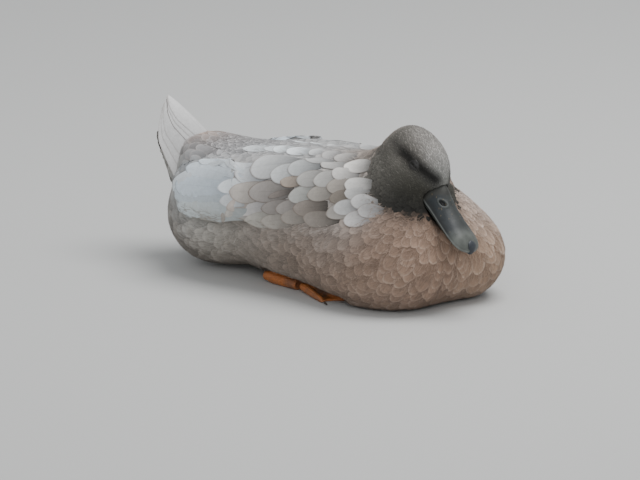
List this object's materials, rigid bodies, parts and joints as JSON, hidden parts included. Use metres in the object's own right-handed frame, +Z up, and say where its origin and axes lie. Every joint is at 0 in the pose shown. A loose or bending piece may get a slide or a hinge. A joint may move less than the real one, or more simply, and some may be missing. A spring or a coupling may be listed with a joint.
{
  "type": "resting duck",
  "caption": "Life-size still model of a domestic duck resting on its belly, neck drawn in, bill tipped down in front of the breast, wings folded and tail cocked.",
  "frame": {"origin": "middle of the flat on which the belly rests, at floor level, between the two feet", "axes": "+X the way the duck faces, +Y its left, +Z up"},
  "size_m": [0.3599, 0.1667, 0.1566],
  "materials": {
    "back_feather": "soft overlapping feathers",
    "breast_feather": "soft overlapping feathers",
    "rump_feather": "small scaly feathers",
    "head_feather": "very short, velvety feathers",
    "wing_feather": "firm, slightly glossy vanes",
    "tail_feather": "firm vanes",
    "bill": "satin, leathery",
    "bill_nail": "hard horn, half gloss",
    "eye": "wet and glossy",
    "foot": "scaled skin, satin",
    "claw": "horn"
  },
  "bodies": {
    "root": {"trunk": "back_feather", "breast": "breast_feather", "rump": "rump_feather", "neck": "head_feather", "head": "head_feather", "upper_bill": "bill", "bill_nail": "bill_nail", "lower_bill": "bill", "eye_left": "eye", "wing_left": "back_feather", "primaries_left": "wing_feather", "secondaries_left": "wing_feather", "tertials_left": "wing_feather", "tail_feather_left_1": "tail_feather", "tail_feather_left_2": "tail_feather", "tail_feather_left_3": "tail_feather", "tail_feather_left_4": "tail_feather", "tail_feather_left_5": "tail_feather", "tail_feather_left_6": "tail_feather", "tarsus_left": "foot", "foot_left": "foot", "claw_left_1": "claw", "claw_left_2": "claw", "claw_left_3": "claw", "claw_left_4": "claw", "eye_right": "eye", "wing_right": "back_feather", "primaries_right": "wing_feather", "secondaries_right": "wing_feather", "tertials_right": "wing_feather", "tail_feather_right_1": "tail_feather", "tail_feather_right_2": "tail_feather", "tail_feather_right_3": "tail_feather", "tail_feather_right_4": "tail_feather", "tail_feather_right_5": "tail_feather", "tail_feather_right_6": "tail_feather", "tarsus_right": "foot", "foot_right": "foot", "claw_right_1": "claw", "claw_right_2": "claw", "claw_right_3": "claw", "claw_right_4": "claw"}
  },
  "joints": []
}
